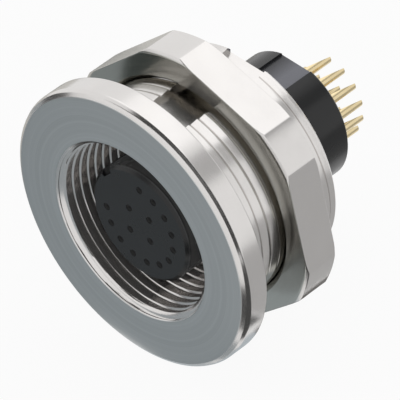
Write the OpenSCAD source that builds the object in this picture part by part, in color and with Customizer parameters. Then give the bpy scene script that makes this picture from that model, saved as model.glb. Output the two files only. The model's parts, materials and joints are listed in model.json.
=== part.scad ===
// Round panel socket: a turned metal shell clamped to a panel by a hex nut,
// with a moulded contact insert that carries turned contacts with solder cups.
// The connector's axis is Y: the mating face looks along -Y, the solder cups along +Y.
// The origin is on the axis, in the plane of the panel seat behind the flange.

/* [Flange] */
// How far the flange reaches out past the panel thread
flange_overhang = 2.9; // [2:0.1:5]
// Thickness of the flange
flange_t = 2.5; // [2:0.1:4]
// Radius of the flange's rounded front edge
flange_edge = 0.35; // [0.1:0.05:0.8]
// Chamfer at the flange's rear edge
flange_rear_chamfer = 0.15; // [0.05:0.05:0.4]

/* [Barrel] */
// Wall from the coupling thread's nominal diameter to the panel thread's
barrel_wall = 2; // [1.6:0.1:3]
// Chamfer at the barrel's rear end
barrel_chamfer = 0.3; // [0.2:0.1:0.8]
// Pitch of the panel thread
panel_pitch = 1; // [0.75:0.05:1.25]
// Depth of the panel thread's grooves
panel_groove = 0.28; // [0.15:0.01:0.35]
// Distance of the panel thread's first groove from the flange
panel_plain = 1.55; // [1:0.05:2]
// Width of the keyway along the top of the barrel
keyway_w = 4.1; // [2:0.1:5]
// Depth of the keyway
keyway_depth = 0.8; // [0.5:0.1:1.3]

/* [Coupling opening] */
// Nominal diameter of the coupling thread
coupling_d = 16; // [15:0.1:18]
// Pitch of the coupling thread
coupling_pitch = 0.75; // [0.5:0.05:1]
// Depth of the coupling thread's grooves
coupling_groove = 0.25; // [0.15:0.01:0.35]
// Depth of the coupling opening, from the flange's face
coupling_depth = 9.2; // [8.8:0.1:9.6]
// How far the countersink at the flange's face reaches past the coupling thread
mouth_w = 0.4; // [0.2:0.05:0.8]

/* [Insert seat] */
// Width of the inner lip that the insert rests on
lip_w = 1.5; // [1:0.1:1.8]
// Thickness of the inner lip
lip_t = 1; // [0.7:0.1:1.3]
// Thickness of the seal between the lip and the insert's collar
seal_t = 0.8; // [0.5:0.1:1]
// Thickness of the front insulator's collar
front_collar_t = 1; // [0.9:0.1:1.2]
// Thickness of the rear insulator's collar
rear_collar_t = 0.7; // [0.5:0.1:0.9]
// Width of the ring that retains the insert
ring_w = 1.65; // [1.2:0.05:1.9]
// Thickness of the retaining ring
ring_t = 0.8; // [0.5:0.1:1]
// Depth of the retaining ring behind the barrel's end
ring_recess = 0.5; // [0:0.05:1]
// Width of the two tool notches in the retaining ring
ring_notch_w = 1.4; // [0.8:0.1:2]
// Depth of the tool notches
ring_notch_depth = 0.4; // [0.2:0.05:0.45]
// Gap left round pieces that seat in each other
seat_clearance = 0.05; // [0.02:0.01:0.1]

/* [Insert] */
// Diameter of the front insulator
front_d = 10.8; // [9.6:0.1:11.4]
// Depth of the front insulator's face behind the flange's face
face_recess = 1.2; // [0.6:0.1:2.5]
// Chamfer round the front insulator's face
front_chamfer = 0.3; // [0.2:0.1:0.7]
// Thickness of the front insulator's wall in front of the sockets
entry_t = 1.2; // [0.6:0.1:2]
// Diameter of the holes in that wall, which guide the pins in
entry_d = 0.66; // [0.62:0.01:0.8]
// Width of the coding groove along the front insulator
groove_w = 1.2; // [0.8:0.1:1.6]
// Depth of the coding groove
groove_depth = 0.6; // [0.3:0.05:0.7]
// Diameter of the rear insulator
rear_d = 11.9; // [11:0.1:12.1]
// How far the rear insulator stands out of the barrel
rear_out = 5.8; // [4:0.1:8]
// Chamfer round the rear insulator's end
rear_chamfer = 0.15; // [0.1:0.05:0.5]
// Width of the flat sunk along the top of the rear insulator
flat_w = 3.3; // [2:0.1:4.4]
// Depth of that flat
flat_depth = 0.5; // [0.3:0.05:0.8]

/* [Contacts] */
// Radius of the outer circle of contacts
outer_r = 3.75; // [3.6:0.05:3.9]
// Number of contacts on the outer circle
outer_count = 12; // [12]
// Angle between neighbours on the outer circle
outer_step = 24; // [24:0.5:25]
// Radius of the inner circle of contacts
inner_r = 1.6; // [1.4:0.05:1.8]
// Number of contacts on the inner circle
inner_count = 4; // [4]
// Outer diameter of a contact's socket end
socket_d = 1; // [0.9:0.01:1.04]
// Bore of the socket end
socket_bore = 0.66; // [0.4:0.02:0.7]
// Depth of the socket's bore
socket_depth = 5; // [3:0.1:7]
// Diameter of the collar that holds a contact
contact_collar_d = 1.24; // [1.18:0.01:1.28]
// Length of the collar that holds a contact
contact_collar_t = 0.7; // [0.4:0.1:0.8]
// Diameter of the solder end
tail_d = 0.95; // [0.85:0.01:1]
// How far the solder ends stand out of the rear insulator
tail_out = 3.7; // [3.4:0.1:6]
// Bore of the solder cup
cup_bore = 0.68; // [0.5:0.02:0.72]
// Depth of the solder cup
cup_depth = 2.2; // [1.6:0.1:3]
// Length of the slanted opening in the side of the solder cup
cup_cut_len = 2.4; // [1.8:0.1:3.3]
// Depth of the step where that opening starts
cup_step = 0.14; // [0.1:0.01:0.2]
// Height of the solder cup's wall left at its end
cup_lip = 0.4; // [0.3:0.01:0.5]
// Angle that the solder cups open to, from the top towards +X
cup_turn = -54; // [-180:1:180]
// Gap left round a contact in its cavity
contact_clearance = 0.03; // [0.01:0.01:0.05]

/* [Nut] */
// How much less the nut measures across its flats than across its turned corners
nut_flat_cut = 1.8; // [1:0.1:2.4]
// Thickness of the nut
nut_t = 3.45; // [2:0.05:4]
// Depth of the cone turned on the nut's faces
nut_chamfer = 0.2; // [0.1:0.05:0.5]
// How much less the nut's faces measure than its turned corners
nut_face_cut = 0.7; // [0.4:0.1:1]
// Chamfer at each end of the nut's thread
nut_mouth = 0.4; // [0.2:0.05:0.6]
// Distance of the nut from the panel seat
nut_gap = 4.85; // [4.4:0.05:6]
// Angle of a flat from the top, towards +X
nut_turn = 14.9; // [0:0.1:60]
// Gap left between the nut and the panel thread
nut_clearance = 0.05; // [0.02:0.01:0.1]

/* [Hidden] */
$fn = 96;
overcut = 1;
edge_steps = 6;
ring_notches = [0, 180];
barrel_d = coupling_d + 2 * barrel_wall;
flange_d = barrel_d + 2 * flange_overhang;
coupling_minor_d = coupling_d - 1.0825 * coupling_pitch;
mouth_d = coupling_d + 2 * mouth_w;
mouth_depth = (mouth_d - coupling_minor_d) / 2;
coupling_turns = floor((coupling_depth - mouth_depth - coupling_groove) / coupling_pitch);
ring_bore = rear_d + 2 * seat_clearance;
collar_d = ring_bore + 2 * ring_w;
seat_d = collar_d + 2 * seat_clearance;
lip_d = seat_d - 2 * lip_w;
pilot_d = lip_d - 2 * seat_clearance;
face_y = -flange_t;
cavity_y = face_y + coupling_depth;
seat_y = cavity_y + lip_t;
front_collar_y = seat_y + seal_t;
joint_y = front_collar_y + front_collar_t;
ring_y = joint_y + rear_collar_t;
barrel_len = ring_y + ring_t + ring_recess;
panel_turns = 1 + floor((barrel_len - barrel_chamfer - panel_groove - panel_plain) / panel_pitch);
rear_reach = barrel_len + rear_out;
tail_reach = rear_reach + tail_out;
insert_y = face_y + face_recess;
groove_end_y = cavity_y - groove_depth;
flat_h = rear_d / 2 - flat_depth;
gap_angle = (360 + (outer_count - 1) * outer_step) / 2;
contact_count = outer_count + inner_count;
inner_angle = 360 / inner_count;
socket_y = insert_y + entry_t;
contact_collar_y = joint_y - contact_collar_t;
cup_cut_y = tail_reach - cup_cut_len;
nut_turned_d = flange_d;
nut_af = nut_turned_d - nut_flat_cut;
nut_face_d = nut_turned_d - nut_face_cut;

brass_nickel = [0.78, 0.77, 0.75];
brass_gold = [0.83, 0.68, 0.35];
moulded_black = [0.11, 0.11, 0.12];
seal_grey = [0.2, 0.2, 0.21];

// Pieces are drawn with the axis along Z and their top towards -Y, then laid along the Y axis.
module along_axis() {
    rotate([-90, 0, 0]) children();
}

// Solid of revolution from a list of [radius, distance along the axis].
module turned(profile) {
    rotate_extrude() polygon(profile);
}

// Plain ring between two planes.
module turned_ring(outer_d, inner_d, from, to) {
    turned([[inner_d / 2, from], [outer_d / 2, from], [outer_d / 2, to], [inner_d / 2, to]]);
}

// Three points of a 60 degree groove: depth is positive into a bore's wall, negative into a shaft.
function groove(r, depth, y, side) = [
    [r, y - side * abs(depth) * tan(30)],
    [r + depth, y],
    [r, y + side * abs(depth) * tan(30)]];

// Drilled hole between two planes.
module hole(d, from, to) {
    translate([0, 0, from]) cylinder(d = d, h = to - from);
}

// Children turned by an angle from the top, towards +X.
module at_angle(angle) {
    rotate([0, 0, angle]) children();
}

// Radius and angle of a contact's axis: the outer circle first, then the inner one.
function contact_radius(i) = i <= outer_count ? outer_r : inner_r;
function contact_angle(i) = i <= outer_count
    ? (i - 1) * outer_step
    : gap_angle + (i - outer_count - 1) * inner_angle;

module at_contact(i) {
    at_angle(contact_angle(i)) translate([0, -contact_radius(i), 0]) children();
}

// Turned shell in one piece: flange, panel thread with its keyway, coupling opening and insert seat.
// Both threads are drawn as rings of grooves, which look the same from a step away.
module shell() {
    flange_r = flange_d / 2;
    barrel_r = barrel_d / 2;
    outside = concat(
        [for (k = [0:edge_steps])
            let (a = 90 * k / edge_steps)
            [flange_r - flange_edge * (1 - sin(a)), face_y + flange_edge * (1 - cos(a))]],
        [[flange_r, -flange_rear_chamfer],
         [flange_r - flange_rear_chamfer, 0],
         [barrel_r, 0]],
        [for (k = [0:panel_turns - 1])
            each groove(barrel_r, -panel_groove, panel_plain + k * panel_pitch, 1)],
        [[barrel_r, barrel_len - barrel_chamfer],
         [barrel_r - barrel_chamfer, barrel_len]]);
    coupling_r = coupling_minor_d / 2;
    inside = concat(
        [[seat_d / 2, barrel_len],
         [seat_d / 2, seat_y],
         [lip_d / 2, seat_y],
         [lip_d / 2, cavity_y],
         [coupling_r, cavity_y]],
        [for (k = [coupling_turns:-1:1])
            each groove(coupling_r, coupling_groove, face_y + mouth_depth + (k - 0.5) * coupling_pitch, -1)],
        [[coupling_r, face_y + mouth_depth],
         [mouth_d / 2, face_y]]);
    color(brass_nickel) along_axis() difference() {
        turned(concat(outside, inside));
        translate([-keyway_w / 2, -barrel_r - overcut, 0])
            cube([keyway_w, keyway_depth + overcut, barrel_len + overcut]);
    }
}

// Hex nut, its corners turned flush with the flange's rim, with a chamfer at each end of its thread.
module hex_nut() {
    bore_r = barrel_d / 2 + nut_clearance;
    color(brass_nickel) along_axis() translate([0, 0, nut_gap]) intersection() {
        linear_extrude(nut_t) at_angle(nut_turn) circle(d = nut_af / cos(30), $fn = 6);
        turned([
            [bore_r + nut_mouth, 0],
            [nut_face_d / 2, 0],
            [nut_turned_d / 2, nut_chamfer],
            [nut_turned_d / 2, nut_t - nut_chamfer],
            [nut_face_d / 2, nut_t],
            [bore_r + nut_mouth, nut_t],
            [bore_r, nut_t - nut_mouth],
            [bore_r, nut_mouth]]);
    }
}

// Flat seal, pressed between the shell's lip and the insert's collar.
module insert_seal() {
    color(seal_grey) along_axis()
        turned_ring(collar_d, lip_d, seat_y, front_collar_y);
}

// Ring behind the insert's collar, with two notches for the tool that drives it in.
module retaining_ring() {
    color(brass_nickel) along_axis() difference() {
        turned_ring(collar_d, ring_bore, ring_y, ring_y + ring_t);
        for (angle = ring_notches)
            at_angle(angle + 90) translate([-ring_notch_w / 2, -seat_d, ring_y + ring_t - ring_notch_depth])
                cube([ring_notch_w, seat_d, ring_notch_depth + overcut]);
    }
}

// Front insulator: carries the socket ends behind its face, with a coding groove in the outer circle's gap.
module front_insulator() {
    front_r = front_d / 2;
    color(moulded_black) along_axis() difference() {
        turned([
            [0, insert_y],
            [front_r - front_chamfer, insert_y],
            [front_r, insert_y + front_chamfer],
            [front_r, cavity_y],
            [pilot_d / 2, cavity_y],
            [pilot_d / 2, front_collar_y],
            [collar_d / 2, front_collar_y],
            [collar_d / 2, joint_y],
            [0, joint_y]]);
        at_angle(gap_angle) translate([-groove_w / 2, -front_r - overcut, insert_y - overcut])
            cube([groove_w, groove_depth + overcut, groove_end_y - insert_y + overcut]);
        for (i = [1:contact_count]) at_contact(i) {
            hole(entry_d, insert_y - overcut, joint_y);
            hole(socket_d + 2 * contact_clearance, socket_y - contact_clearance, joint_y + overcut);
            hole(contact_collar_d + 2 * contact_clearance, contact_collar_y, joint_y + overcut);
        }
    }
}

// Rear insulator: closes the contacts' cavities and guides the solder ends out.
module rear_insulator() {
    color(moulded_black) along_axis() difference() {
        turned([
            [0, joint_y],
            [collar_d / 2, joint_y],
            [collar_d / 2, ring_y],
            [rear_d / 2, ring_y],
            [rear_d / 2, rear_reach - rear_chamfer],
            [rear_d / 2 - rear_chamfer, rear_reach],
            [0, rear_reach]]);
        translate([-flat_w / 2, -flat_h - rear_d, ring_y])
            cube([flat_w, rear_d, rear_reach - ring_y + overcut]);
        for (i = [1:contact_count]) at_contact(i)
            hole(tail_d + 2 * contact_clearance, joint_y - overcut, rear_reach + overcut);
    }
}

// Turned contact: bored socket, collar between the two insulators, and a solder cup cut open on one side.
module contact(i) {
    tail_r = tail_d / 2;
    color(brass_gold) along_axis() at_contact(i) at_angle(cup_turn - contact_angle(i)) difference() {
        turned([
            [0, socket_y],
            [socket_d / 2, socket_y],
            [socket_d / 2, contact_collar_y],
            [contact_collar_d / 2, contact_collar_y],
            [contact_collar_d / 2, joint_y],
            [tail_r, joint_y],
            [tail_r, tail_reach],
            [0, tail_reach]]);
        hole(socket_bore, socket_y - overcut, socket_y + socket_depth);
        hole(cup_bore, tail_reach - cup_depth, tail_reach + overcut);
        rotate([90, 0, 90]) linear_extrude(2 * tail_d, center = true) polygon([
            [cup_step - tail_r, cup_cut_y],
            [tail_r - cup_lip, tail_reach],
            [tail_r - cup_lip, tail_reach + overcut],
            [-tail_d, tail_reach + overcut],
            [-tail_d, cup_cut_y]]);
    }
}

shell();
hex_nut();
insert_seal();
retaining_ring();
front_insulator();
rear_insulator();
for (i = [1:contact_count])
    contact(i);
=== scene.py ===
# %% [markdown]
# # A round panel socket
# The object is a turned metal socket for a sensor plug. Its flange sits on a panel, a hex nut holds it from
# behind, and a black moulded insert carries gold contacts with solder cups. The solid model is already there as
# a fixed frame, in metres, with the axis along Y and the mating face towards -Y. This script only dresses it:
# threads, softened edges, finishes, light and a camera. So the first step loads that frame and keeps its pieces and
# record.

# %% Load the frame
import json
import math

import bmesh
import bpy
import numpy as np
from mathutils import Matrix, Vector


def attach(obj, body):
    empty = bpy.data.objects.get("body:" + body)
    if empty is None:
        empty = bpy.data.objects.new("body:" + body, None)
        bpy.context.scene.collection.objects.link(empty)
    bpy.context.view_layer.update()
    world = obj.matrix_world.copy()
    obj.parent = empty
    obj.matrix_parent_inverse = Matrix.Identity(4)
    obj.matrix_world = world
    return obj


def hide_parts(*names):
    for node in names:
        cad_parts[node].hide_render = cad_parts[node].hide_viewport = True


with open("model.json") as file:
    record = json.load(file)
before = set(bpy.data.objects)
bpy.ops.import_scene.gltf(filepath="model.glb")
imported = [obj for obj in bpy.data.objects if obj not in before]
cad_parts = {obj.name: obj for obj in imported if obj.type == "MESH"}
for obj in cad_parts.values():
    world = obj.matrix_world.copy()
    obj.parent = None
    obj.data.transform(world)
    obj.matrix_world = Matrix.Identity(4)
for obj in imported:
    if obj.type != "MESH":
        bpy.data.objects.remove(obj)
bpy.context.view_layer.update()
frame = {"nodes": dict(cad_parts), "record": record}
MM = 0.001


def place_object(name, data):
    """New object that holds the data, linked to the scene."""
    made = bpy.data.objects.new(name, data)
    bpy.context.scene.collection.objects.link(made)
    return made


# %% [markdown]
# ## The camera
# The photograph looks down on the socket from its front right, with a long lens, so circles stay almost true
# ellipses. A camera could be moved by eye, but here its place is worked out: the viewing angle comes from the
# tilt of the flange's ellipse, and the distance from how little the far rim shrinks. The flange's face lies left
# of the picture's middle and below it, so the camera aims at a point to the right of that face and above it.

# %% Place the camera
VIEW_AZIMUTH, VIEW_ELEVATION = math.radians(43.6), math.radians(43.0)
VIEW_DISTANCE, AIM_RIGHT, AIM_UP = 378.0, 5.70, 2.59
FACE_Y = -2.5
right = np.array([math.cos(VIEW_AZIMUTH), math.sin(VIEW_AZIMUTH), 0.0])
heading = np.array([-math.sin(VIEW_AZIMUTH), math.cos(VIEW_AZIMUTH), 0.0])
forward = math.cos(VIEW_ELEVATION) * heading - math.sin(VIEW_ELEVATION) * np.array([0.0, 0.0, 1.0])
upward = np.cross(right, forward)
aim = np.array([0.0, FACE_Y, 0.0]) + AIM_RIGHT * right + AIM_UP * upward
stand = (aim - VIEW_DISTANCE * forward) * MM

lens = bpy.data.cameras.new("camera")
lens.lens, lens.sensor_width = 422.0, 36.0
lens.clip_start, lens.clip_end = 0.01, 10.0
camera = place_object("camera", lens)
camera_axes = Matrix((right, upward, -forward)).transposed().to_4x4()
camera.matrix_world = Matrix.Translation(Vector(stand)) @ camera_axes
bpy.context.scene.camera = camera
print("camera at", [round(v, 4) for v in stand])

# %% [markdown]
# ## From a grid of points to a mesh
# Every turned piece here is a grid: one direction runs along the cut profile, the other round the axis. The grid
# is worked out as one numpy array, so a shape is a formula and not a list of tool steps. This helper puts such
# an array into a mesh. Points that fall together, as beside a slot, are merged afterwards, and the normals are
# turned outwards once the skin is closed. Edges that bend more than the crease angle are shaded as sharp.

# %% Grid to mesh
MERGE_DISTANCE = 2e-7


def skin(name, points, body, stands_for, crease, runs_on=None):
    """Quads between neighbouring points of a (rows, columns, 3) grid in millimetres. The profile is a loop, and
    each row closes round the axis: on itself, or on the row that `runs_on` names, as a thread does each turn."""
    rows, columns = points.shape[:2]
    number = np.arange(rows * columns).reshape(rows, columns)
    first = number[:, 0] if runs_on is None else number[runs_on, 0]
    across = np.concatenate([number[:, 1:], first[:, None]], 1)
    quads = np.stack([number, across, np.roll(across, -1, 0), np.roll(number, -1, 0)], -1).reshape(-1, 4)
    mesh = bpy.data.meshes.new(name)
    mesh.vertices.add(rows * columns)
    mesh.vertices.foreach_set("co", (points * MM).astype(np.float32).ravel())
    mesh.loops.add(quads.size)
    mesh.loops.foreach_set("vertex_index", quads.astype(np.int32).ravel())
    mesh.polygons.add(len(quads))
    mesh.polygons.foreach_set("loop_start", np.arange(0, quads.size, 4, dtype=np.int32))
    mesh.update(calc_edges=True)
    work = bmesh.new()
    work.from_mesh(mesh)
    bmesh.ops.remove_doubles(work, verts=work.verts, dist=MERGE_DISTANCE)
    bmesh.ops.recalc_face_normals(work, faces=work.faces)
    work.to_mesh(mesh)
    work.free()
    mesh.polygons.foreach_set("use_smooth", np.ones(len(mesh.polygons), dtype=bool))
    mesh.set_sharp_from_angle(angle=math.radians(crease))
    piece = place_object(name, mesh)
    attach(piece, body)
    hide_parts(stands_for)
    print(name, len(mesh.vertices), "points,", len(mesh.polygons), "faces")
    return piece

# %% [markdown]
# ## The threads
# A thread could be swept along a helix, but then its ends have to be joined to the barrel by hand. Here the rows
# of the grid are the helix: each row climbs by one pitch in a turn and runs on into the row one turn further. A
# row stays in the root, on a flank or on the crest all the way, so the thread's edges are as crisp as the rows.
# The crests of the panel thread are broad and lean a little towards the flange. Level ones would mirror the dark
# front of the nut, and leaning ones mirror the white room, as the bright barrel in the photograph does.

# %% Thread rows
NUDGE = 1e-9


def thread_rows(turns, marks):
    """Turn numbers of the rows of a thread: the same phases, as shares of a pitch, in every turn."""
    return (np.arange(*turns)[:, None] + marks[None, :]).ravel()


def thread_depth(rows, marks, depths):
    """Depth of each row between crest (0) and root (1), from its phase, by straight lines between the marks. The
    nudge keeps rounding from dropping a row at phase 0 into the turn before."""
    return np.interp(np.mod(rows + NUDGE, 1.0), np.append(marks, 1.0), np.append(depths, depths[0]))


PANEL_PITCH, PANEL_CREST, PANEL_ROOT = 1.0, 10.0, 9.77
PANEL_MARKS = np.array([0.0, 0.03, 0.11, 0.15, 0.32, 0.5, 0.68, 0.85, 0.89, 0.97])
PANEL_DEPTHS = np.array([1.0, 1.0, 0.56, 0.52, 0.39, 0.26, 0.13, 0.0, 0.05, 1.0])
COUPLING_PITCH, COUPLING_CREST, COUPLING_ROOT = 0.88, 7.82, 7.98
COUPLING_MARKS = np.array([0.0, 0.08, 0.16, 0.2, 0.24, 0.275, 0.4, 0.5, 0.6, 0.725, 0.76, 0.8, 0.84, 0.92])
COUPLING_DEPTHS = np.array([1.0, 1.0, 1.0, 0.67, 0.33, 0.0, 0.0, 0.0, 0.0, 0.0, 0.33, 0.67, 1.0, 1.0])
panel_turn = thread_rows((-3, 12), PANEL_MARKS)
coupling_turn = thread_rows((0, 12), COUPLING_MARKS)
print("thread rows:", len(panel_turn), "outside,", len(coupling_turn), "inside")

# %% [markdown]
# ## The shell's profile
# The shell is one turned piece, and its profile is walked once round: front face, rim, seat, panel thread, rear
# end, insert seat, lip, and the coupling thread back to the mouth. A bevel modifier could break the edges, but
# then the threads would be bevelled too. Here each corner of the plain profile is cut by its own small amount,
# as the tool or the tumbling barrel leaves it, and a row on each side of the curve keeps the flat faces flat.

# %% Shell profile
def softened(corners, cut, hold=0.05, steps=5):
    """Each corner of an open profile becomes a small curve: a parabola between two points that lie `cut` before
    and after the corner, with one more row `hold` further out on each side so that flat faces stay flat."""
    corners, cut = np.asarray(corners, float), np.asarray(cut, float)[:, None]
    before, after = np.diff(corners, axis=0)[:-1], np.diff(corners, axis=0)[1:]
    before = before / np.linalg.norm(before, axis=1, keepdims=True)
    after = after / np.linalg.norm(after, axis=1, keepdims=True)
    middle = corners[1:-1]
    start, end = middle - before * cut, middle + after * cut
    t = np.linspace(0, 1, steps)[None, :, None]
    curve = (1 - t) ** 2 * start[:, None] + 2 * t * (1 - t) * middle[:, None] + t ** 2 * end[:, None]
    block = np.concatenate([(start - before * hold)[:, None], curve, (end + after * hold)[:, None]], 1)
    return np.concatenate([corners[:1], block.reshape(-1, 2), corners[-1:]])


FLANGE_R, SEAT_Y = 12.9, 0.0
RIM_BEVEL = [(12.38, FACE_Y), (12.75, -2.245), (FLANGE_R, -1.925)]
MOUTH_R, MOUTH_CUT, BORE_R = 8.4, 0.1, 8.0
MOUTH_Y = FACE_Y + MOUTH_CUT
THREAD_FIRST, THREAD_LAST, BARREL_END, BARREL_END_R = 0.08, 11.2, 11.5, 9.7
INSERT_SEAT_R, LIP_R, LIP_BACK, LIP_FRONT = 7.7, 6.2, 7.7, 6.7
RELIEF_R, RELIEF_END = 8.1, 6.62
face_rows = softened(
    [(MOUTH_R - MOUTH_CUT, MOUTH_Y), (MOUTH_R, FACE_Y), *RIM_BEVEL, (FLANGE_R, SEAT_Y), (PANEL_CREST, SEAT_Y),
     (PANEL_CREST, THREAD_FIRST)],
    cut=[0.03, 0.04, 0.04, 0.1, 0.16, 0.02], hold=0.02)
rear_rows = softened(
    [(PANEL_CREST, THREAD_LAST), (BARREL_END_R, BARREL_END), (INSERT_SEAT_R, BARREL_END), (INSERT_SEAT_R, LIP_BACK),
     (LIP_R, LIP_BACK), (LIP_R, LIP_FRONT), (RELIEF_R, LIP_FRONT), (RELIEF_R, RELIEF_END)],
    cut=[0.05, 0.12, 0.05, 0.1, 0.1, 0.03])

FACE, PANEL, REAR, COUPLING = range(4)
counts = [len(face_rows), len(panel_turn), len(rear_rows), len(coupling_turn)]
starts = np.cumsum([0] + counts)
zone = np.repeat([FACE, PANEL, REAR, COUPLING], counts)
row_y = np.concatenate([face_rows[:, 1], 0 * panel_turn, rear_rows[:, 1], 0 * coupling_turn])
row_r = np.concatenate([face_rows[:, 0], np.full(counts[PANEL], PANEL_CREST),
                        rear_rows[:, 0], np.full(counts[COUPLING], BORE_R)])
row_number = np.arange(starts[-1])
runs_on = np.where(zone == PANEL, np.minimum(row_number + len(PANEL_MARKS), starts[REAR] - 1), row_number)
runs_on = np.where(zone == COUPLING, np.maximum(row_number - len(COUPLING_MARKS), starts[COUPLING]), runs_on)
print("profile rows: face", counts[FACE], "panel", counts[PANEL], "rear", counts[REAR], "coupling", counts[COUPLING])

# %% [markdown]
# ## The shell's columns
# The columns go round the axis. A keyway is milled along the top of the barrel, so that the socket can't turn in
# its panel. Cutting it with a boolean would shred the thread's quads. Instead some columns keep a fixed distance
# to the side, and two of them stand on each edge of the keyway: one for its floor and one for the thread, which
# makes the wall between them upright. The other columns share out the rest of the circle evenly.

# %% Shell columns
KEYWAY_HALF, FLOOR_COLUMNS, ROUND_COLUMNS = 2.05, 13, 225
slot_x = np.concatenate([[-KEYWAY_HALF], np.linspace(-KEYWAY_HALF, KEYWAY_HALF, FLOOR_COLUMNS), [KEYWAY_HALF]])
across_slot = np.concatenate([slot_x, np.zeros(ROUND_COLUMNS)])
column = np.arange(len(across_slot))
in_slot = column < len(slot_x)
on_floor = (column >= 1) & (column <= FLOOR_COLUMNS)
share = (np.arange(ROUND_COLUMNS) + 1) / (ROUND_COLUMNS + 1)
edge_angle = np.arcsin(KEYWAY_HALF / row_r)[:, None]
slot_angle = np.arcsin(slot_x[None, :] / row_r[:, None])
angle = np.concatenate([slot_angle, edge_angle + share * (2 * np.pi - 2 * edge_angle)], 1)
print("columns:", angle.shape[1], "of which", int(in_slot.sum()), "belong to the keyway")

# %% [markdown]
# ## The shell's surface
# Now rows and columns meet. On the thread rows, the place along the axis follows the angle, and the depth comes
# from the row. Where a row leaves the threaded length it is held at its end, and the depth fades there, as a real
# thread runs out. The bore takes the largest of three radii: thread, mouth cone and the relief before the lip.
# At the end the floor columns are pressed down to the keyway's floor, on the barrel only.

# %% Shell
PANEL_START, RUN_OUT_START, RUN_OUT = 1.4, 0.25, 0.3
COUPLING_START, MOUTH_GROOVE, RELIEF_START = 6.93, 0.12, 6.0
KEYWAY_FLOOR, BARREL_WALL = 9.2, 9.0
y = np.repeat(row_y[:, None], angle.shape[1], 1)
radius = np.repeat(row_r[:, None], angle.shape[1], 1)
share_of_turn = angle / (2 * np.pi)

outer = zone == PANEL
panel_y = PANEL_START + PANEL_PITCH * (panel_turn[:, None] + share_of_turn[outer])
y[outer] = np.clip(panel_y, THREAD_FIRST, THREAD_LAST)
fade_in = np.clip((y[outer] - RUN_OUT_START) / RUN_OUT, 0, 1)
fade_out = np.clip((THREAD_LAST - y[outer]) / RUN_OUT, 0, 1)
panel_cut = (PANEL_CREST - PANEL_ROOT) * thread_depth(panel_turn, PANEL_MARKS, PANEL_DEPTHS)
radius[outer] = PANEL_CREST - fade_in * fade_out * panel_cut[:, None]

inner = zone == COUPLING
coupling_y = COUPLING_START - COUPLING_PITCH * (coupling_turn[:, None] - share_of_turn[inner])
y[inner] = np.clip(coupling_y, MOUTH_Y, RELIEF_END)
coupling_share = thread_depth(coupling_turn, COUPLING_MARKS, COUPLING_DEPTHS)[:, None]
threaded = COUPLING_CREST + (COUPLING_ROOT - COUPLING_CREST) * coupling_share
mouth_fade = np.clip((y[inner] - MOUTH_Y) / MOUTH_CUT, 0, 1)
mouth = MOUTH_R - (y[inner] - FACE_Y) + MOUTH_GROOVE * coupling_share * mouth_fade
relief = RELIEF_R - np.clip(RELIEF_START - y[inner], 0, None)
radius[inner] = np.maximum(np.maximum(threaded, mouth), relief)

x = np.where(in_slot, across_slot, radius * np.sin(angle))
z = np.where(in_slot, np.sqrt(radius ** 2 - across_slot ** 2), radius * np.cos(angle))
milled_rows = (zone == PANEL) | ((zone == REAR) & (row_r > BARREL_WALL))
z = np.where(on_floor & milled_rows[:, None], np.minimum(z, KEYWAY_FLOOR), z)
shell = skin("shell_dressed", np.stack([x, y, z], -1), "socket", "shell", crease=38, runs_on=runs_on)

# %% [markdown]
# ## The hex nut
# A nut of this kind is cut from hexagon bar and then turned, so its corners are arcs and the faces end in a
# shallow cone. Boolean cuts of a hexagon and a cone would do it, but leave knife edges that catch no light. Here
# the outline at each angle is the smallest of three radii: the flat, the turned corner and the cone. A soft
# minimum in place of the plain one rounds the edge where they meet by a few hundredths of a millimetre. Columns
# stand closer together where a flat runs into its corner, because the outline bends most there.

# %% Nut outline
NUT_FRONT, NUT_THICK, FLAT, TURNED = 4.85, 3.45, 12.0, 12.9
CONE_START, CONE_RISE, MEETING = 12.55, 1.75, 0.02
SIDES, SIDE_COLUMNS, CLOSE_HALF, CLOSE_COLUMNS = 6, 33, 1.6, 11


def soft_min(a, b, blend):
    """Smaller of two lengths, with the meeting point rounded over about `blend`: -log(exp(-a) + exp(-b))."""
    low = np.minimum(a, b)
    return low - blend * np.log(np.exp((low - a) / blend) + np.exp((low - b) / blend))


corner_turn = math.degrees(math.acos(FLAT / TURNED))
side_turn = 360 / SIDES
even = np.linspace(-side_turn / 2, side_turn / 2, SIDE_COLUMNS)
close = corner_turn + np.linspace(-CLOSE_HALF, CLOSE_HALF, CLOSE_COLUMNS)
sector = np.unique(np.concatenate([even, close, -close]))[:-1]
nut_angle = np.radians((sector[None, :] + side_turn * np.arange(SIDES)[:, None]).ravel())
flat_r = FLAT / np.cos(np.radians(np.tile(sector, SIDES)))


def nut_outline(height):
    """Radius of the nut for a column of heights above its front face, and every angle: the soft minimum of the
    flat, which is half the width divided by the cosine of the angle off it, and of the cone or turned corner."""
    from_end = np.clip(np.minimum(height, NUT_THICK - height), 0, None)
    turned = np.minimum(TURNED, CONE_START + CONE_RISE * from_end)
    return soft_min(np.broadcast_to(flat_r, (len(height), len(flat_r))), turned, MEETING)


print("a flat meets its turned corner", round(corner_turn, 1), "degrees off its middle")

# %% [markdown]
# ## The nut's surface
# The profile of the nut is its front half and the same half in the mirror: bore, bore chamfer, face, a small arc
# at the face's edge, and the flat up to the middle. It is a grid again, with one row for each of these heights.

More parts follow.
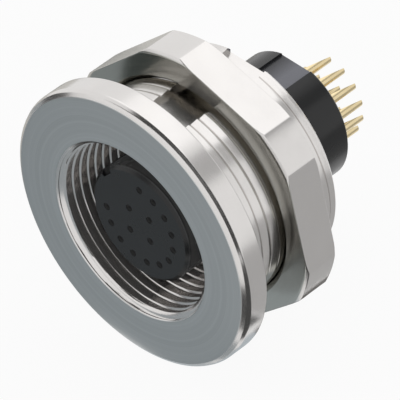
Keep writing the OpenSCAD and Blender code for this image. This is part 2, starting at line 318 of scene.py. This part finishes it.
# %% Hex nut
NUT_BORE, NUT_CHAMFER, EDGE, NUT_TURN = 10.05, 0.4, 0.07, math.radians(14.9)
FACE_SHARES = np.array([0.0, 0.04, 0.3, 0.6, 0.9, 0.97])[:, None]
SIDE_HEIGHTS = np.array([0.09, 0.12, 0.15, 0.18, 0.21, 0.25, 0.4, 0.8, NUT_THICK / 2])[:, None]
chamfer_r = NUT_BORE + NUT_CHAMFER
bend = np.radians(np.linspace(0, 90, 6))[:, None]
edge_y, edge_in = EDGE * (1 - np.cos(bend)), EDGE * (1 - np.sin(bend))
face_end = nut_outline(np.zeros((1, 1))) - EDGE
face_r = chamfer_r + FACE_SHARES * (face_end - chamfer_r)
half_r = np.concatenate([np.full((2, len(flat_r)), NUT_BORE), face_r,
                         nut_outline(edge_y) - edge_in, nut_outline(SIDE_HEIGHTS)])
half_y = np.concatenate([[[NUT_THICK / 2]], [[NUT_CHAMFER]], 0 * FACE_SHARES, edge_y, SIDE_HEIGHTS])
nut_r = np.concatenate([half_r, half_r[-2:0:-1]])
nut_y = NUT_FRONT + np.concatenate([half_y, NUT_THICK - half_y[-2:0:-1]])
nut_points = np.stack([nut_r * np.sin(nut_angle + NUT_TURN), nut_y + 0 * nut_r,
                       nut_r * np.cos(nut_angle + NUT_TURN)], -1)
nut = skin("nut_dressed", nut_points, "nut", "hex_nut", crease=35)

# %% [markdown]
# ## Finishes: shared marks
# Nickel, gold and plastic share two effects. Turned metal keeps fine rings where the tool passed, and every
# surface has faint clouds where it was handled. Each is a node group, so that a material only sets how strong it
# is. The rings depend on the distance from the axis and along it, which is what a lathe leaves, so they are
# worked out from Object coordinates and not from an image.

# %% Node helpers
def add(tree, kind, links=None, **values):
    """New node; `values` set attributes or unlinked sockets, `links` joins sockets by name or number."""
    made = tree.nodes.new(kind)
    for key, value in values.items():
        if hasattr(made, key):
            setattr(made, key, value)
        else:
            made.inputs[key].default_value = value
    for key, source in (links or {}).items():
        tree.links.new(source, made.inputs[key])
    return made


def calc(operation, first, second=None):
    """Output of a Math node on a socket, and on a second socket or number where the operation has one."""
    links = {0: first}
    if isinstance(second, bpy.types.NodeSocket):
        links[1] = second
    made = add(first.id_data, "ShaderNodeMath", links, operation=operation)
    if isinstance(second, float):
        made.inputs[1].default_value = second
    return made.outputs[0]


def group(name, inputs, outputs):
    """Empty shader node group with float inputs and outputs; returns it with its input and output nodes."""
    tree = bpy.data.node_groups.new(name, "ShaderNodeTree")
    for label, value in inputs.items():
        tree.interface.new_socket(label, in_out="INPUT", socket_type="NodeSocketFloat").default_value = value
    for label in outputs:
        tree.interface.new_socket(label, in_out="OUTPUT", socket_type="NodeSocketFloat")
    return tree, tree.nodes.new("NodeGroupInput"), tree.nodes.new("NodeGroupOutput")

# %% Tool rings and handling clouds
TOOL_RINGS, CLOUDS, GRAIN = 12.0, 0.35, 9.0
rings, ring_in, ring_out = group("tool_rings", {"Rings per mm": TOOL_RINGS}, ["Ring", "Radius"])
place = add(rings, "ShaderNodeTexCoord").outputs["Object"]
flatten = add(rings, "ShaderNodeVectorMath", {0: place}, operation="MULTIPLY")
flatten.inputs[1].default_value = (1.0, 0.0, 1.0)
off_axis = add(rings, "ShaderNodeVectorMath", {0: flatten.outputs[0]}, operation="LENGTH").outputs["Value"]
along_axis = add(rings, "ShaderNodeSeparateXYZ", {0: place}).outputs["Y"]
ring_place = add(rings, "ShaderNodeCombineXYZ", {"X": off_axis, "Y": along_axis}).outputs[0]
per_metre = calc("MULTIPLY", ring_in.outputs["Rings per mm"], 1 / MM)
noise = add(rings, "ShaderNodeTexNoise", {"Vector": ring_place, "Scale": per_metre}, Detail=2.0, Roughness=0.6)
rings.links.new(noise.outputs[0], ring_out.inputs["Ring"])
rings.links.new(off_axis, ring_out.inputs["Radius"])

clouds, cloud_in, cloud_out = group("handling_clouds", {"Cloud per mm": CLOUDS, "Grain per mm": GRAIN},
                                    ["Cloud", "Grain"])
place = add(clouds, "ShaderNodeTexCoord").outputs["Object"]
for label in ("Cloud", "Grain"):
    per_metre = calc("MULTIPLY", cloud_in.outputs[label + " per mm"], 1 / MM)
    noise = add(clouds, "ShaderNodeTexNoise", {"Vector": place, "Scale": per_metre}, Detail=3.0)
    clouds.links.new(noise.outputs[0], cloud_out.inputs[label])
print("groups:", [g.name for g in bpy.data.node_groups])

# %% [markdown]
# ## One recipe for all finishes
# Every material here is made the same way: it mixes two near tones by the clouds, does the same with roughness,
# and lets the rings or the grain lift the surface a little, because no real surface is one flat value. A piece
# with several finishes could be split into several materials. Here a second finish is laid over the first by a
# mask, a value that goes from 0 to 1 between two places, so that the border follows the shape and not the mesh.

# %% Recipe for finishes
# The Mix node keeps separate sockets for each kind of data: kind, two inputs and the output.
COLOUR_MIX, VALUE_MIX = ("RGBA", 6, 7, 2), ("FLOAT", 2, 3, 0)
BUMP_DISTANCE = 1e-5


def blend_tone(factor, tones):
    """Colour between two tones, by a value that changes over the surface."""
    kind, below, above, out = COLOUR_MIX
    mix = add(factor.id_data, "ShaderNodeMix", {0: factor}, data_type=kind)
    mix.inputs[below].default_value, mix.inputs[above].default_value = [(*tone, 1) for tone in tones]
    return mix.outputs[out]


def span(value, low, high, start=0.3, stop=0.7):
    """Value mapped from start..stop to low..high."""
    made = add(value.id_data, "ShaderNodeMapRange", {0: value})
    for key, number in (("From Min", start), ("From Max", stop), ("To Min", low), ("To Max", high)):
        made.inputs[key].default_value = number
    return made.outputs[0]


def rises(place, start, stop):
    """Mask that goes from 0 to 1 between two places in millimetres."""
    return span(place, 0.0, 1.0, start * MM, stop * MM)


def falls(place, start, stop):
    """Mask that goes from 1 to 0 between two places in millimetres."""
    return span(place, 1.0, 0.0, start * MM, stop * MM)


def lay_over(target, mask, source):
    """Where the mask is 1, the source takes over from what feeds the shader's socket so far. The source is a
    socket, or one colour."""
    kind, below, above, out = COLOUR_MIX if target.type == "RGBA" else VALUE_MIX
    tree = target.id_data
    mix = add(tree, "ShaderNodeMix", {0: mask, below: target.links[0].from_socket}, data_type=kind)
    if isinstance(source, tuple):
        mix.inputs[above].default_value = (*source, 1)
    else:
        tree.links.new(source, mix.inputs[above])
    tree.links.new(mix.outputs[out], target)


def object_place(tree):
    """X, Y and Z of the Object coordinates."""
    return add(tree, "ShaderNodeSeparateXYZ", {0: add(tree, "ShaderNodeTexCoord").outputs["Object"]}).outputs


def surface(name, tones, rough, metal, ring_lift=0.0, grain_lift=0.0):
    """Principled material: tone and roughness follow the clouds, the height follows the rings or the grain.
    Returns it with its shader's inputs and the outputs of its rings and clouds."""
    made = bpy.data.materials.new(name)
    made.use_nodes = True
    tree = made.node_tree
    shader = tree.nodes["Principled BSDF"].inputs
    shader["Metallic"].default_value = metal
    ring = add(tree, "ShaderNodeGroup", node_tree=rings).outputs
    cloud = add(tree, "ShaderNodeGroup", node_tree=clouds).outputs
    tree.links.new(blend_tone(cloud["Cloud"], tones), shader["Base Color"])
    tree.links.new(span(cloud["Cloud"], *rough), shader["Roughness"])
    bump = add(tree, "ShaderNodeBump", {"Height": cloud["Grain"] if grain_lift else ring["Ring"]},
               Distance=BUMP_DISTANCE, Strength=grain_lift or ring_lift)
    tree.links.new(bump.outputs[0], shader["Normal"])
    return made, shader, ring, cloud

# %% [markdown]
# ## Nickel, gold and rubber
# Bright nickel is a metal with a slightly warm grey and low roughness. The gold of solder cups is a thin flash,
# paler than jewellery. The seal is dull black rubber. These three cover a whole piece each.

# %% Plain finishes
NICKEL = (0.73, 0.71, 0.695), (0.67, 0.65, 0.635)
GOLD = (0.80, 0.67, 0.42), (0.72, 0.59, 0.35)
RUBBER = (0.035, 0.035, 0.036), (0.025, 0.025, 0.026)
nickel, *_ = surface("bright_nickel", NICKEL, (0.18, 0.28), 1.0, ring_lift=0.10)
gold, *_ = surface("flash_gold", GOLD, (0.18, 0.30), 1.0, ring_lift=0.10)
rubber, *_ = surface("seal_rubber", RUBBER, (0.7, 0.85), 0.0, grain_lift=0.3)
print("plain finishes:", [made.name for made in (nickel, gold, rubber)])

# %% [markdown]
# ## Black plastic
# The insert is moulded from black plastic. The front half is glossy on its face, where the mould was polished.
# Its sides and contact holes get a paler grey: painted light that lifts these deep, shaded places. The rear half
# has a milled flat along its top. Its pale tone is partly the paler cut plastic and partly a painted reflection of
# light, and painted shade darkens it towards its left side. The masks come from Object coordinates, because the
# meshes of the solid model stay as they are.

# %% Black plastic
# The paler grey is painted light for the sides and holes of the front half; the milled tone holds a painted
# reflection.
BLACK = (0.012, 0.0125, 0.013), (0.009, 0.0095, 0.010)
PAINTED_FILL_GREY = (0.13, 0.13, 0.13), (0.10, 0.10, 0.10)
MILLED_AND_SHEEN = (0.235, 0.24, 0.27), (0.185, 0.19, 0.22)
INSERT_FACE, HOLES_R, MILLED_HALF, MILLED_Z = -1.3, 4.5, 1.65, 5.0


def moulded(name):
    """Black plastic, a little less shiny than most, with a fine grain."""
    made, shader, ring, cloud = surface(name, BLACK, (0.20, 0.30), 0.0, grain_lift=0.15)
    shader["Specular IOR Level"].default_value = 0.4
    return made, shader, ring, cloud


front_plastic, shader, ring, cloud = moulded("front_plastic")
along = object_place(front_plastic.node_tree)["Y"]
behind_face = rises(along, INSERT_FACE + 0.2, INSERT_FACE + 0.5)
below_face = rises(along, INSERT_FACE + 0.02, INSERT_FACE + 0.1)
in_hole = calc("MULTIPLY", below_face, falls(ring["Radius"], HOLES_R - 0.1, HOLES_R + 0.1))
# Painted light: the sides and contact holes of the front half take a paler grey than the black face.
lay_over(shader["Base Color"], calc("MAXIMUM", behind_face, in_hole), blend_tone(cloud["Grain"], PAINTED_FILL_GREY))

rear_plastic, shader, _, cloud = moulded("rear_plastic")
place = object_place(rear_plastic.node_tree)
near_middle = falls(calc("ABSOLUTE", place["X"]), MILLED_HALF - 0.03, MILLED_HALF + 0.03)
on_flat = calc("MULTIPLY", near_middle, rises(place["Z"], MILLED_Z, MILLED_Z + 0.3))
# The flat's pale tone is partly the cut plastic and partly a painted reflection of light; towards its left it fades
# nearly to black as painted shade.
to_right = span(place["X"], 0.15, 1.0, -1.5 * MM, 0.3 * MM)
lay_over(shader["Base Color"], calc("MULTIPLY", on_flat, to_right), blend_tone(cloud["Grain"], MILLED_AND_SHEEN))
print("plastics:", front_plastic.name, rear_plastic.name)

# %% [markdown]
# ## The shell's own nickel
# The shell shows three finishes on one piece: its flange face is satin with faint rings from the lathe, the bore
# is smooth, everything else is bright. A mask from the place along the axis picks the face out, and one from the
# distance to the axis the bore. Satin is the same metal with more roughness and a wider spread of tones.

# %% Shell nickel
SATIN, FACE_RINGS = ((0.68, 0.69, 0.69), (0.44, 0.45, 0.45)), 2.5
shell_nickel, shader, ring, cloud = surface("shell_nickel", NICKEL, (0.16, 0.24), 1.0, ring_lift=0.12)
along = object_place(shell_nickel.node_tree)["Y"]
on_face = falls(along, FACE_Y + 0.01, FACE_Y + 0.07)
near_axis = falls(ring["Radius"], MOUTH_R - 0.1, MOUTH_R + 0.2)
in_bore = calc("MULTIPLY", near_axis, rises(along, FACE_Y + 0.5, FACE_Y + 0.7))
face_ring = add(shell_nickel.node_tree, "ShaderNodeGroup", node_tree=rings)
face_ring.inputs["Rings per mm"].default_value = FACE_RINGS
lay_over(shader["Base Color"], on_face, blend_tone(face_ring.outputs["Ring"], SATIN))
lay_over(shader["Roughness"], in_bore, span(cloud["Cloud"], 0.08, 0.14))
lay_over(shader["Roughness"], on_face, span(ring["Ring"], 0.28, 0.40))
shell_nickel.node_tree.links.new(span(in_bore, 1.0, 0.85, 0.0, 1.0), shader["Metallic"])
print("nodes in", shell_nickel.name, len(shell_nickel.node_tree.nodes))

# %% [markdown]
# ## The nut's own nickel
# The flats of the nut keep the brightness of drawn bar, but its front was faced on a lathe, so it has fine rings.
# Its deeper, slightly yellow grey is painted shade, for the dark between the nut and the flange. The chamfer at
# its bore, close to the barrel, gets a darker painted shade still and is the darkest place. Both could be painted
# by hand, but two masks say where they are and stay sharp.

# %% Nut nickel
# Tones of the faced front, darkened as painted shade, and the painted shade of the bore's chamfer.
FACED_AND_SHADE, CHAMFER_SHADE = ((0.495, 0.49, 0.455), (0.405, 0.405, 0.375)), (0.30, 0.285, 0.24)
nut_nickel, shader, ring, _ = surface("nut_nickel", NICKEL, (0.16, 0.24), 1.0, ring_lift=0.10)
on_front = falls(object_place(nut_nickel.node_tree)["Y"], NUT_FRONT + 0.03, NUT_FRONT + 0.09)
in_mouth = falls(ring["Radius"], chamfer_r - 0.05, chamfer_r + 0.02)
# Painted shade: the faced front and, darker still, the bore's chamfer.
lay_over(shader["Base Color"], on_front, blend_tone(ring["Ring"], FACED_AND_SHADE))
lay_over(shader["Base Color"], in_mouth, CHAMFER_SHADE)
lay_over(shader["Roughness"], on_front, span(ring["Ring"], 0.14, 0.22))
print("nodes in", nut_nickel.name, len(nut_nickel.node_tree.nodes))

# %% [markdown]
# ## Every piece gets its finish
# The record names a material slot for each piece of the solid model, so most finishes are handed out by slot.
# The two halves of the insert, the dressed shell and the dressed nut have finishes of their own.

# %% Give every piece its finish
by_slot = {"nickel": nickel, "gold": gold, "seal_rubber": rubber}
by_node = {"front_insulator": front_plastic, "rear_insulator": rear_plastic}
slot_of = {part["node"]: part["material_slot"] for part in frame["record"]["subparts"]}
for name, node in frame["nodes"].items():
    node.data.materials.clear()
    node.data.materials.append(by_node.get(name) or by_slot[slot_of[name]])
shell.data.materials.append(shell_nickel)
nut.data.materials.append(nut_nickel)
print("pieces by slot:", {slot: list(slot_of.values()).count(slot) for slot in sorted(set(slot_of.values()))})

# %% [markdown]
# ## A white floor
# The photograph is a plain studio picture, cut out on white. A floor that is lit up to white would need strong
# lamps, and they would clip the metal. So the floor is white to the camera and to reflections by itself, and only
# a small share of it is real paper that takes a faint shadow.

# %% Floor
FLOOR_Z, FLOOR_HALF, FLOOR_WHITE = -FLANGE_R, 2000, 0.93


def rectangle(x0, y0, x1, y1):
    """Four corners of a rectangle along the axes."""
    return [(x0, y0), (x1, y0), (x1, y1), (x0, y1)]


def sheet(name, corners, height, material):
    """Flat sheet at a height, with the given corners, in millimetres."""
    mesh = bpy.data.meshes.new(name)
    mesh.from_pydata([(x * MM, y * MM, height * MM) for x, y in corners], [], [tuple(range(len(corners)))])
    mesh.materials.append(material)
    made = place_object(name, mesh)
    return made


def seen_white(tree, share):
    """A share for camera, glossy and transmission rays; 0 for the rest."""
    path = add(tree, "ShaderNodeLightPath").outputs
    seen = calc("MAXIMUM", path["Is Camera Ray"], path["Is Glossy Ray"])
    return calc("MULTIPLY", calc("MAXIMUM", seen, path["Is Transmission Ray"]), share)


paper = bpy.data.materials.new("white_floor")
paper.use_nodes = True
tree = paper.node_tree
matt_paper = tree.nodes["Principled BSDF"]
matt_paper.inputs["Base Color"].default_value = (0.92, 0.92, 0.92, 1)
matt_paper.inputs["Roughness"].default_value = 0.9
matt_paper.inputs["Specular IOR Level"].default_value = 0.0
white = add(tree, "ShaderNodeEmission", Strength=1.0)
both = add(tree, "ShaderNodeMixShader",
           {0: seen_white(tree, FLOOR_WHITE), 1: matt_paper.outputs[0], 2: white.outputs[0]})
tree.links.new(both.outputs[0], tree.nodes["Material Output"].inputs["Surface"])
sheet("floor", rectangle(-FLOOR_HALF, -FLOOR_HALF, FLOOR_HALF, FLOOR_HALF), FLOOR_Z, paper)
print("floor at", FLOOR_Z, "mm, below the flange")

# %% [markdown]
# ## Cards and an arch for the metal
# Bright metal has little tone of its own and shows what stands round it. A photographer puts grey and black cards
# where the metal mirrors them, and so does this scene. The card in front gives the flange's face its grey, those
# under the gap and beside the nut shade the nut's front, one high up in front darkens the keyway, and one in the
# sky gives a soft grey to what looks up and to the right. A dark arch over the front and its right side stands in
# for the unlit part of a studio. Only reflections see all these. Tones painted on the metal would look wrong from
# any other side.

# %% Cards and arch
CARD_Z, SHADE_Z, FRONT_Z, SKY_Z = FLOOR_Z + 0.1, FLOOR_Z + 0.2, 205.0, 300.0
PLAIN = (1.0, 1.0, 1.0)
CARDS = [
    ("card_face", CARD_Z, [(-60, -45), (-10, -45), (4, -20), (14, -3), (-60, -3)], (0.90, 0.985, 1.03), 0.41),
    ("card_gap", CARD_Z, rectangle(-12, -2.6, 12, 4.7), (0.91, 1.0, 1.06), 0.54),
    # A painted shadow: a dark card below the barrel and nut, which the metal mirrors as the floor's shade there.
    ("card_shadow_under", CARD_Z, rectangle(-12, 4.7, 12, 22), (1.0, 0.95, 0.88), 0.10),
    ("card_rear", CARD_Z, rectangle(-70, -2.6, -12.5, 45), (1.0, 0.985, 0.93), 0.58),
    ("card_shade", SHADE_Z, rectangle(-34, 4, -13, 28), (0.78, 1.0, 1.0), 0.09),
    ("card_side", CARD_Z, rectangle(14.5, -22, 250, 6), PLAIN, 0.08),
    ("card_back", CARD_Z, rectangle(12.5, 6.5, 160, 120), PLAIN, 0.50),
    ("card_left", CARD_Z, rectangle(-220, -120, -62, -5), PLAIN, 0.08),
    ("card_front", FRONT_Z, rectangle(-250, -260, -70, -80), PLAIN, 0.05),
    ("card_sky", SKY_Z, rectangle(105, 60, 260, 420), PLAIN, 0.50),
]
ARCH_R, ARCH_LEAN, ARCH_DEPTH, ARCH_STEPS, ARCH_LEVEL = 250, (-2.5, 120), (-110, 8), 36, 0.05


def glow(name, tone, strength):
    """Plain emission, for cards that only reflections see."""
    made = bpy.data.materials.new(name)
    made.use_nodes = True
    tree = made.node_tree
    tree.nodes.clear()
    light = add(tree, "ShaderNodeEmission", Color=(*tone, 1), Strength=strength)
    add(tree, "ShaderNodeOutputMaterial", {"Surface": light.outputs[0]})
    return made


held = [sheet(name, corners, height, glow(name, tone, level)) for name, height, corners, tone, level in CARDS]

lean = np.radians(np.linspace(*ARCH_LEAN, ARCH_STEPS))
arch_x, arch_z = ARCH_R * np.cos(lean), ARCH_R * np.sin(lean)
arch_points = np.concatenate([np.stack([arch_x, 0 * lean + depth, arch_z], 1) for depth in ARCH_DEPTH]) * MM
near = np.arange(ARCH_STEPS - 1)
arch_faces = np.stack([near, near + 1, near + 1 + ARCH_STEPS, near + ARCH_STEPS], 1)
arch_mesh = bpy.data.meshes.new("arch")
arch_mesh.from_pydata(arch_points.tolist(), [], arch_faces.tolist())
arch_mesh.materials.append(glow("arch_black", PLAIN, ARCH_LEVEL))
arch = place_object("arch", arch_mesh)
for card in held + [arch]:
    card.visible_camera = card.visible_diffuse = card.visible_shadow = card.visible_transmission = False
print("cards:", len(held), "and an arch")

# %% [markdown]
# ## Surround and softbox
# A white surround fills the scene evenly, at half strength for what it lights and at full white for what is seen.
# One wide softbox from above gives the nut its white flats. Two of them that overlap in a reflection would clip,
# so there is only one. The picture is shown with the Standard view, so a colour renders about as it is written.

# %% World and softbox
FILL_LEVEL, BOX_SIZE, BOX_ENERGY, BOX_PLACE = 0.55, 0.42, 0.19, (-0.11, 0.12, 0.35)
world = bpy.data.worlds.new("white_surround")
bpy.context.scene.world = world
world.use_nodes = True
tree = world.node_tree
tree.nodes.clear()
fill = add(tree, "ShaderNodeBackground", Color=(1, 1, 1, 1), Strength=FILL_LEVEL)
white = add(tree, "ShaderNodeBackground", Color=(1, 1, 1, 1), Strength=1.0)
mixed = add(tree, "ShaderNodeMixShader", {0: seen_white(tree, 1.0), 1: fill.outputs[0], 2: white.outputs[0]})
add(tree, "ShaderNodeOutputWorld", {"Surface": mixed.outputs[0]})

lamp = bpy.data.lights.new("softbox_top", "AREA")
lamp.shape, lamp.size, lamp.energy = "SQUARE", BOX_SIZE, BOX_ENERGY
softbox = place_object("softbox_top", lamp)
softbox.location = BOX_PLACE
softbox.rotation_euler = Vector(BOX_PLACE).to_track_quat("Z", "Y").to_euler()
bpy.context.scene.view_settings.view_transform = "Standard"
print("softbox of", BOX_SIZE, "m at", BOX_PLACE)
